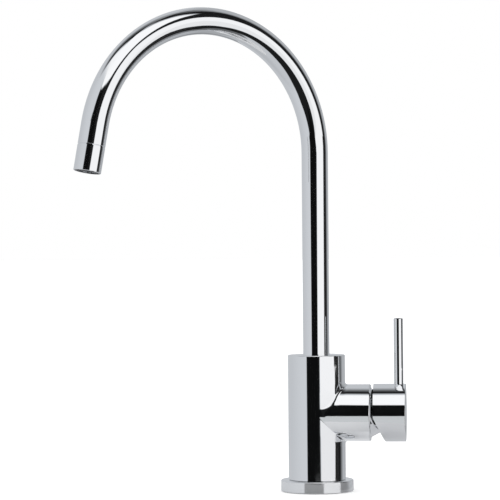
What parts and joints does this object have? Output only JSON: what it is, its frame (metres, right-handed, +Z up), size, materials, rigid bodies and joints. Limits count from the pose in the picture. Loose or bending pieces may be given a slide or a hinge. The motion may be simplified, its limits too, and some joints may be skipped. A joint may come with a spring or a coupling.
{
  "type": "filtered water tap",
  "caption": "Deck-mounted kitchen mixer tap with a swivelling gooseneck spout, a filtered water line inside it and a side lever cap with a slender upright pin.",
  "frame": {"origin": "on the axis of the body, at the face of the deck that the tap stands on", "axes": "+Z up along the body and the riser of the spout; +X outwards along the side branch to the lever; the user stands on the -Y side"},
  "size_m": [0.2556, 0.1743, 0.3985],
  "materials": {
    "chrome_plate": "polished chrome plate",
    "brass": "turned",
    "stainless_steel": "turned",
    "seal_rubber": "moulded",
    "bush_plastic": "moulded, natural white",
    "cartridge_plastic": "moulded",
    "turret_plastic": "moulded",
    "water_line": "extruded hose",
    "aerator_plastic": "moulded",
    "ceramic_disc": "lapped"
  },
  "bodies": {
    "tap": {"tap_body": "chrome_plate", "base_flange": "chrome_plate", "base_seal": "seal_rubber", "spout_lock_screw": "stainless_steel", "cartridge_base": "cartridge_plastic", "port_seals": "seal_rubber", "fixed_disc": "ceramic_disc", "cartridge_housing": "cartridge_plastic", "cartridge_nut": "brass", "dome_cover": "chrome_plate"},
    "spout": {"spout_tube": "chrome_plate", "spout_ferrule": "brass", "lower_spout_bush": "bush_plastic", "upper_spout_bush": "bush_plastic", "lower_spout_seal": "seal_rubber", "upper_spout_seal": "seal_rubber", "filtered_nipple": "brass", "filtered_nipple_seal": "seal_rubber", "filtered_line": "water_line", "aerator_housing": "chrome_plate", "aerator_washer": "seal_rubber", "aerator_insert": "aerator_plastic", "aerator_mesh": "stainless_steel", "filtered_nozzle": "stainless_steel"},
    "turret": {"cartridge_turret": "turret_plastic", "stem_pivot_pin": "stainless_steel"},
    "lever": {"lever_stem": "brass", "lever_cap": "chrome_plate", "lever_pin": "chrome_plate", "cap_grub_screw": "stainless_steel", "screw_plug": "chrome_plate"},
    "disc": {"moving_disc": "ceramic_disc", "disc_carrier": "turret_plastic"}
  },
  "joints": [
    {"name": "spout_swivel", "type": "hinge", "parent": "tap", "child": "spout", "pos_m": [0, 0, 0.0929], "axis": [0, 0, 1], "range_deg": [-38, 142]},
    {"name": "lever_turn", "type": "hinge", "parent": "tap", "child": "turret", "pos_m": [0.0475, 0, 0.0652], "axis": [1, 0, 0], "range_deg": [-50, 50]},
    {"name": "lever_tilt", "type": "hinge", "parent": "turret", "child": "lever", "pos_m": [0.0475, 0, 0.0652], "axis": [0, 1, 0], "range_deg": [0, 25]},
    {"name": "disc_slide", "type": "slide", "parent": "turret", "child": "disc", "axis": [0, 0, 1], "range_m": [0, 0.0036]}
  ],
  "couplings": [
    {"joint": "disc_slide", "follows": "lever_tilt", "m_per_rad": 0.008}
  ]
}
